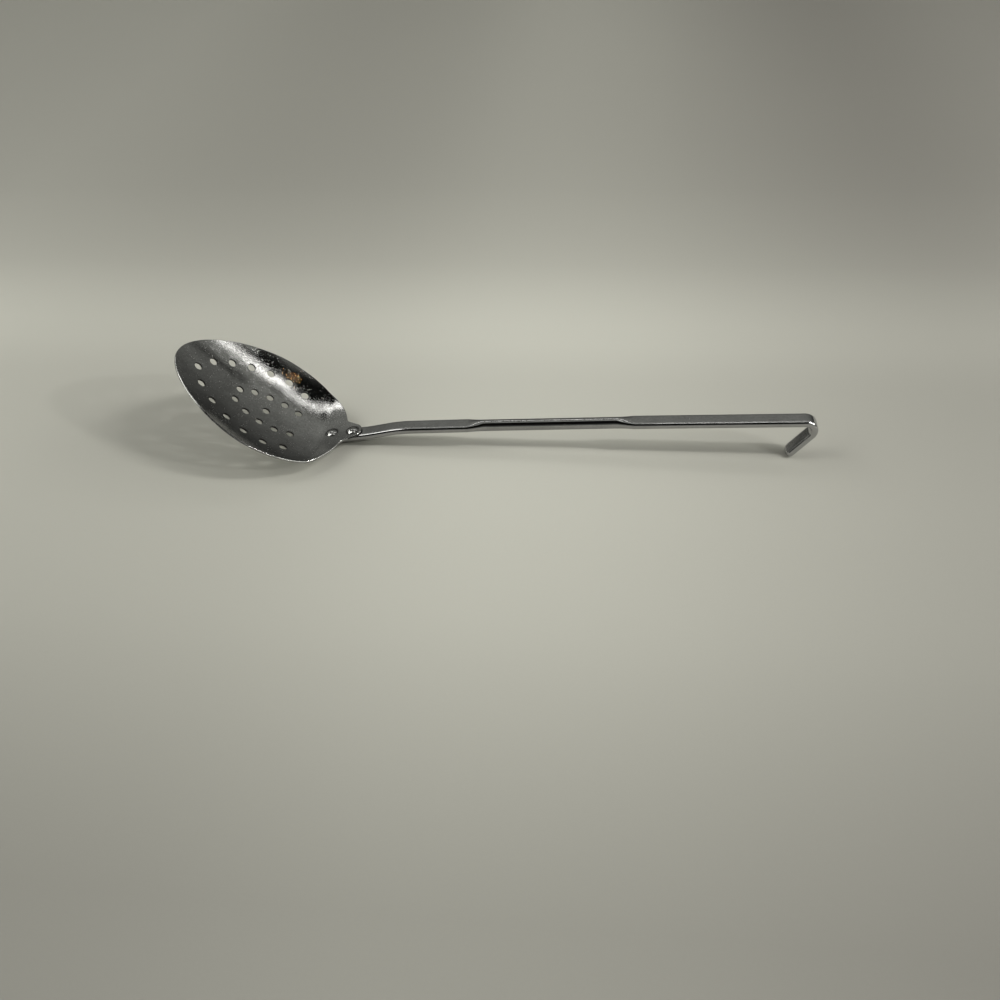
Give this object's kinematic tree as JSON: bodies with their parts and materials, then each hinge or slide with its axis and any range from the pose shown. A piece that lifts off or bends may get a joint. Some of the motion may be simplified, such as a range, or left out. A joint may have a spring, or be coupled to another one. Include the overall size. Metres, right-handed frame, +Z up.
{
  "type": "slotted ladle",
  "caption": "Long-handled shallow ladle of polished steel with a pointed, perforated bowl riveted to a flattened rod handle that ends in a hanging hook.",
  "frame": {"origin": "on the table under the middle of the whole length, in the plane that halves the ladle", "axes": "+Z up from the table it lies on, +X along the handle toward the hook, -X toward the tip of the bowl, +Y to the left when looking from the bowl toward the hook"},
  "size_m": [0.3271, 0.0776, 0.0557],
  "materials": {
    "pressed_sheet": "polished stainless steel, finely pitted and scratched",
    "forged_rod": "polished stainless steel with fine scratches",
    "rivet": "polished stainless steel"
  },
  "bodies": {
    "root": {"bowl": "pressed_sheet", "handle": "forged_rod", "front_rivet": "rivet", "rear_rivet": "rivet"}
  },
  "joints": []
}
